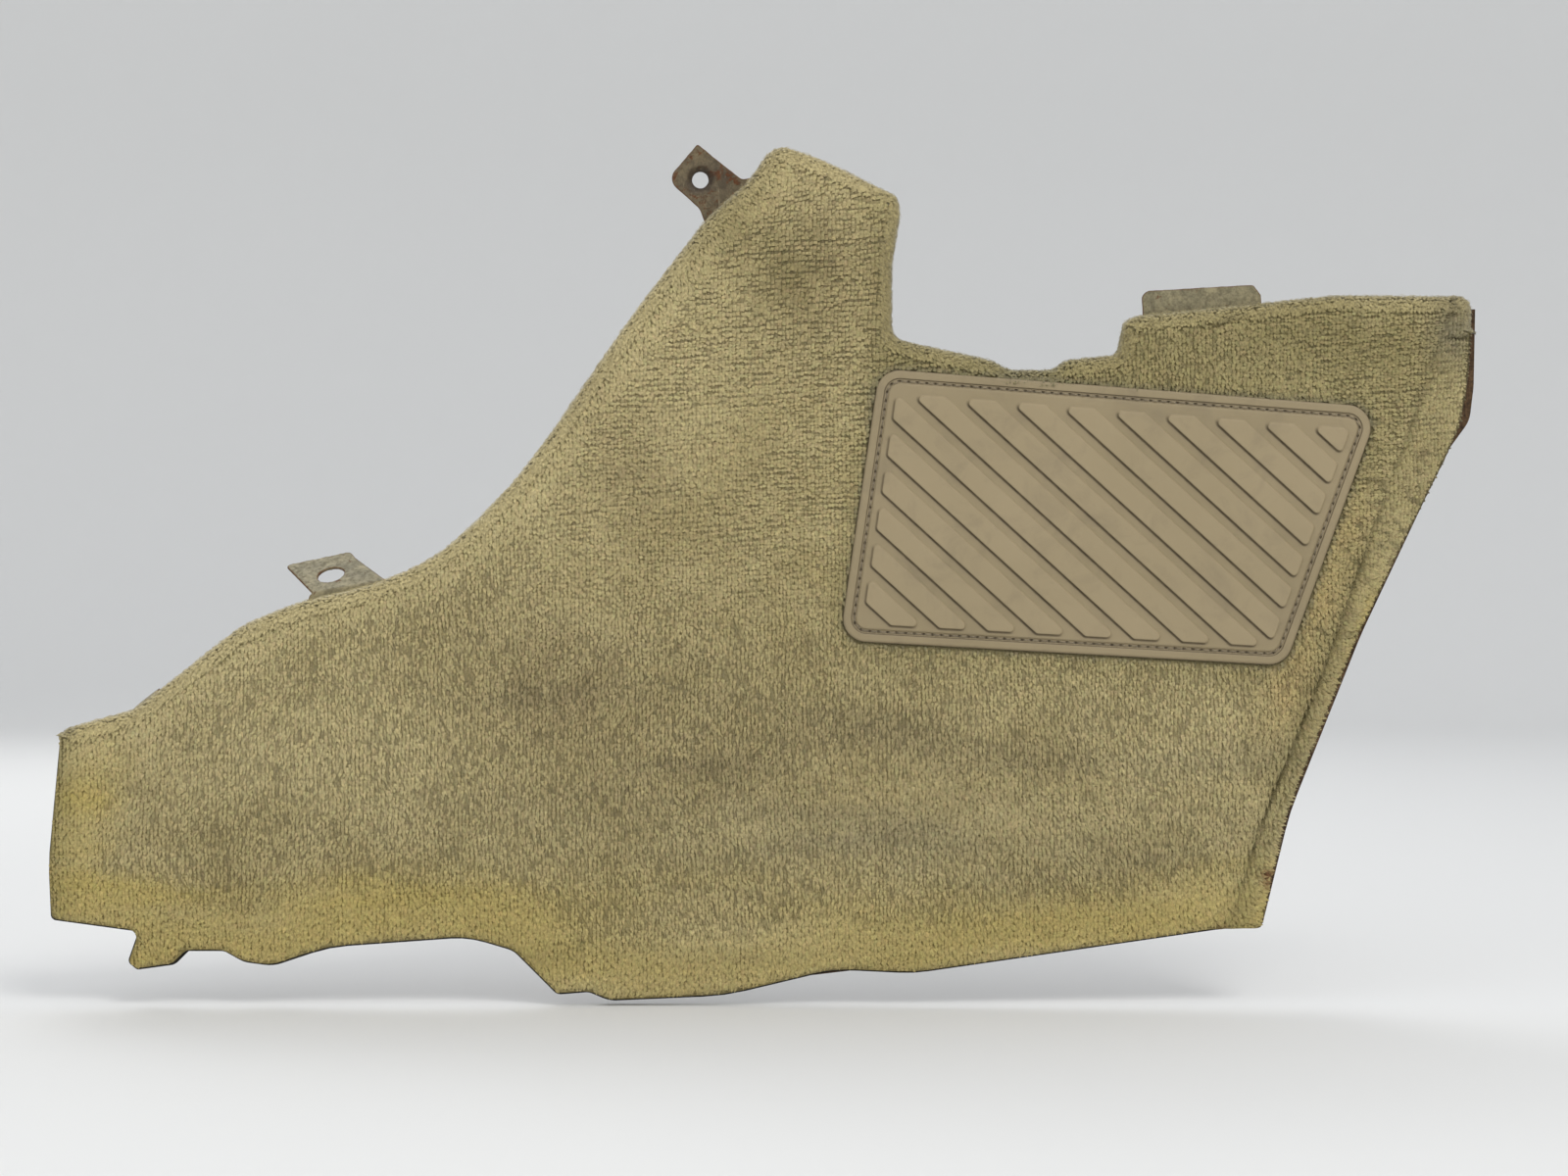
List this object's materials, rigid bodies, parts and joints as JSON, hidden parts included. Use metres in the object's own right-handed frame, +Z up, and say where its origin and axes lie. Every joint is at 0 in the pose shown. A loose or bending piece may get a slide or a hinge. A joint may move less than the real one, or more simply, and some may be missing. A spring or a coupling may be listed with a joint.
{
  "type": "carpeted footwell side trim panel",
  "caption": "Flat carpeted car footwell side trim panel with rolled upper edges, a ribbed sewn-on heel pad and folded steel fixing tabs.",
  "frame": {"origin": "centre of the upper fixing tab's hole, at the back rim of its dimple, where the tab meets the car body", "axes": "+X along the panel towards its front end, +Y through the panel away from the carpet towards the car body, +Z up"},
  "size_m": [0.5745, 0.0364, 0.3448],
  "materials": {
    "fibre_board": "raw pressed fibre",
    "heavy_layer": "matt",
    "carpet_pile": "worn velour pile",
    "pad_vinyl": "fine grain",
    "thread": "waxed",
    "painted_steel": "old paint with rust",
    "rivet_steel": "dull",
    "staple_wire": "dull",
    "rusty_wire": "rusted",
    "felt": "needled felt"
  },
  "bodies": {
    "root": {"backing_board": "fibre_board", "heavy_layer": "heavy_layer", "carpet": "carpet_pile", "heel_pad": "pad_vinyl", "heel_pad_thread": "thread", "heel_pad_bobbin_thread": "thread", "upper_tab": "painted_steel", "upper_tab_rivets": "rivet_steel", "upper_tab_washers": "rivet_steel", "lower_tab": "painted_steel", "lower_tab_rivets": "rivet_steel", "lower_tab_washers": "rivet_steel", "front_tab": "painted_steel", "front_tab_rivets": "rivet_steel", "front_tab_washers": "rivet_steel", "rear_tab": "painted_steel", "rear_tab_rivets": "rivet_steel", "rear_tab_washers": "rivet_steel", "hem_staples": "staple_wire", "edge_staple": "rusty_wire", "main_felt": "felt", "tail_felt": "felt", "front_felt": "felt"}
  },
  "joints": []
}
